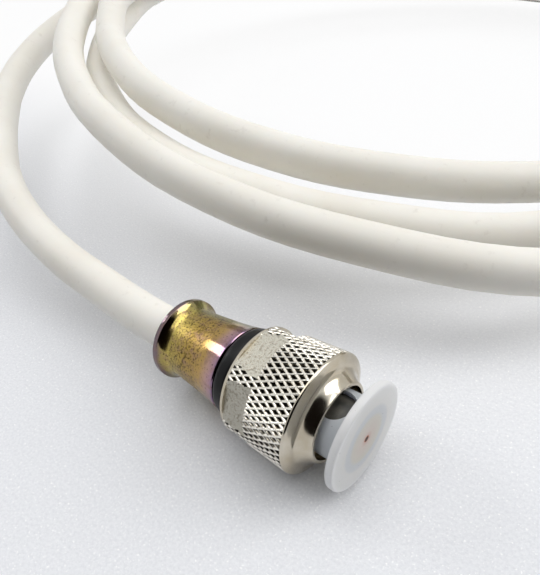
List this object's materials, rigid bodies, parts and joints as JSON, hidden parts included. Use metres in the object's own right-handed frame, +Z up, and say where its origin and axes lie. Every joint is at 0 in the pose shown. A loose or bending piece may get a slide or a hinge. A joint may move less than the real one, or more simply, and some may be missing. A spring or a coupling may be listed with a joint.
{
  "type": "cable shutter release",
  "caption": "Camera cable release: sprung plunger head in a knurled collar, long off-white sheathed cable laid in loose turns, and a taper nipple with a shutter pin.",
  "frame": {"origin": "on the floor, under the middle of the head's length, where the head's axis lies 7 mm up", "axes": "+X along the head from the cable towards the press disc, +Z up, +Y towards the coiled cable"},
  "size_m": [0.152, 0.1552, 0.0274],
  "materials": {
    "nickel": "nickel plate, blasted flats and a turned nose",
    "nickel_knurl": "nickel plate over a diamond knurl",
    "steel": "turned steel",
    "bush_brass": "turned brass",
    "spring_steel": "spring steel",
    "seal_rubber": "moulded rubber, slight sheen",
    "ferrule_chromate": "iridescent yellow chromate over zinc",
    "cap_plastic": "moulded milky polyethylene",
    "core_dark": "blackened brass",
    "wire_copper": "copper-plated steel wire",
    "sheath": "extruded off-white plastic",
    "tip_nickel": "nickel plate, turned"
  },
  "bodies": {
    "head": {"barrel": "steel", "guide_bush": "bush_brass", "retaining_ring": "spring_steel", "sealing_ring": "seal_rubber", "ferrule": "ferrule_chromate", "wire_guide": "bush_brass", "sheath_post": "steel", "sheath_end": "sheath", "return_spring": "spring_steel", "cable_lead": "sheath", "cable_coil": "sheath", "cable_tail": "sheath", "tip_ferrule": "ferrule_chromate", "tip_sheath_end": "sheath", "tip_body": "tip_nickel", "tip_nipple": "tip_nickel"},
    "collar": {"knurled_collar": "nickel", "collar_knurl": "nickel_knurl"},
    "plunger": {"button_cap": "cap_plastic", "plunger_core": "core_dark", "wire_crimp": "wire_copper", "inner_wire": "wire_copper"},
    "shutter_pin": {"tip_pin": "steel", "pin_stop": "steel", "tip_wire": "wire_copper"}
  },
  "joints": [
    {"name": "collar_turn", "type": "hinge", "parent": "head", "child": "collar", "pos_m": [0, 0, 0.007], "axis": [1, 0, 0], "continuous": true},
    {"name": "plunger_press", "type": "slide", "parent": "head", "child": "plunger", "axis": [-1, 0, 0], "range_m": [0, 0.0022], "stiffness_N_per_m": 400, "springref_m": -0.002, "deforming": ["return_spring"]},
    {"name": "pin_push", "type": "slide", "parent": "head", "child": "shutter_pin", "axis": [0, -1, 0], "range_m": [0, 0.0022]}
  ],
  "couplings": [
    {"joint": "pin_push", "follows": "plunger_press", "ratio": 1}
  ]
}
